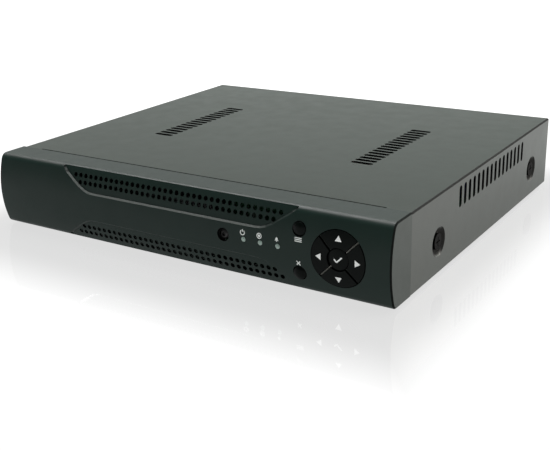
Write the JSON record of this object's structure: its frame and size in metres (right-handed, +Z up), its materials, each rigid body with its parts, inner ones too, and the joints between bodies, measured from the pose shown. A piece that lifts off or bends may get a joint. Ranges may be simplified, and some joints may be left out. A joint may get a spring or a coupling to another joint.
{
  "type": "digital video recorder",
  "caption": "Flat digital video recorder: steel case with vents, moulded front with grilles, lamps, keys and a four-way pad, and rear video, monitor, network and power sockets.",
  "frame": {"origin": "middle of the footprint, on the surface that the feet stand on", "axes": "+X to the right seen from the front, +Y to the back, +Z up"},
  "size_m": [0.3008, 0.2775, 0.0517],
  "materials": {
    "tray_steel": "satin black powder coat over sheet steel",
    "cover_paint": "satin dark grey powder coat",
    "bezel_plastic": "finely textured dark green-grey moulding",
    "foot_rubber": "black",
    "black_screw": "black oxide",
    "zinc_screw": "zinc plated",
    "receiver_plastic": "dark filter plastic",
    "led_plastic": "unlit milky lens",
    "circuit_board": "green solder mask",
    "switch_plastic": "black",
    "ribbon_plastic": "white flat ribbon",
    "key_plastic": "black",
    "plunger_plastic": "cream",
    "chip_plastic": "black moulded",
    "capacitor_sleeve": "dark blue sleeve",
    "header_plastic": "cream",
    "cell_steel": "bright",
    "heatsink_aluminium": "plain extruded",
    "port_plastic": "black",
    "nickel": "dull nickel plate",
    "insulator_plastic": "white",
    "contact_gold": "gold plated",
    "audio_plastic": "red",
    "monitor_plastic": "blue",
    "drive_casting": "cast",
    "drive_steel": "pressed sheet",
    "data_cable_sheath": "red flat cable",
    "wire_sheath": "black wires",
    "fan_plastic": "black",
    "fan_wire_sheath": "red wires"
  },
  "bodies": {
    "case": {"base_chassis": "tray_steel", "top_cover": "cover_paint", "front_bezel": "bezel_plastic", "rubber_feet": "foot_rubber", "side_screws": "black_screw", "fan_screws": "black_screw", "board_standoffs": "zinc_screw", "machine_screws": "zinc_screw", "bezel_screws": "zinc_screw", "drive_screws": "zinc_screw", "ir_receiver": "receiver_plastic", "status_leds": "led_plastic", "key_board": "circuit_board", "main_board": "circuit_board", "drive_board": "circuit_board", "tact_switches": "switch_plastic", "key_cable": "ribbon_plastic", "board_chips": "chip_plastic", "board_capacitors": "capacitor_sleeve", "board_headers": "header_plastic", "coin_cell": "cell_steel", "heatsink": "heatsink_aluminium", "bnc_block": "port_plastic", "rca_block": "port_plastic", "lan_insert": "port_plastic", "port_tongues": "port_plastic", "dc_jack": "port_plastic", "bnc_shells": "nickel", "rca_shells": "nickel", "vga_shell": "nickel", "vga_jackscrews": "nickel", "hdmi_shell": "nickel", "lan_shell": "nickel", "usb_shell": "nickel", "dc_pin": "nickel", "bnc_insulators": "insulator_plastic", "bnc_contacts": "contact_gold", "rca_insulators": "audio_plastic", "vga_insert": "monitor_plastic", "hard_drive": "drive_casting", "drive_lid": "drive_steel", "sata_cable": "data_cable_sheath", "sata_power_cable": "wire_sheath", "fan_frame": "fan_plastic", "fan_cable": "fan_wire_sheath"},
    "up_key": {"key_up": "key_plastic", "plunger_up": "plunger_plastic"},
    "down_key": {"key_down": "key_plastic", "plunger_down": "plunger_plastic"},
    "left_key": {"key_left": "key_plastic", "plunger_left": "plunger_plastic"},
    "right_key": {"key_right": "key_plastic", "plunger_right": "plunger_plastic"},
    "enter_key": {"key_enter": "key_plastic", "plunger_enter": "plunger_plastic"},
    "menu_key": {"key_menu": "key_plastic", "plunger_menu": "plunger_plastic"},
    "escape_key": {"key_escape": "key_plastic", "plunger_escape": "plunger_plastic"},
    "fan_wheel": {"fan_rotor": "fan_plastic"}
  },
  "joints": [
    {"name": "up_press", "type": "slide", "parent": "case", "child": "up_key", "axis": [0, 1, 0], "range_m": [0, 0.0005], "stiffness_N_per_m": 3000},
    {"name": "down_press", "type": "slide", "parent": "case", "child": "down_key", "axis": [0, 1, 0], "range_m": [0, 0.0005], "stiffness_N_per_m": 3000},
    {"name": "left_press", "type": "slide", "parent": "case", "child": "left_key", "axis": [0, 1, 0], "range_m": [0, 0.0005], "stiffness_N_per_m": 3000},
    {"name": "right_press", "type": "slide", "parent": "case", "child": "right_key", "axis": [0, 1, 0], "range_m": [0, 0.0005], "stiffness_N_per_m": 3000},
    {"name": "enter_press", "type": "slide", "parent": "case", "child": "enter_key", "axis": [0, 1, 0], "range_m": [0, 0.0005], "stiffness_N_per_m": 3000},
    {"name": "menu_press", "type": "slide", "parent": "case", "child": "menu_key", "axis": [0, 1, 0], "range_m": [0, 0.0005], "stiffness_N_per_m": 3000},
    {"name": "escape_press", "type": "slide", "parent": "case", "child": "escape_key", "axis": [0, 1, 0], "range_m": [0, 0.0005], "stiffness_N_per_m": 3000},
    {"name": "fan_spin", "type": "hinge", "parent": "case", "child": "fan_wheel", "pos_m": [-0.122, 0.12095, 0.0234], "axis": [0, 1, 0], "continuous": true}
  ]
}
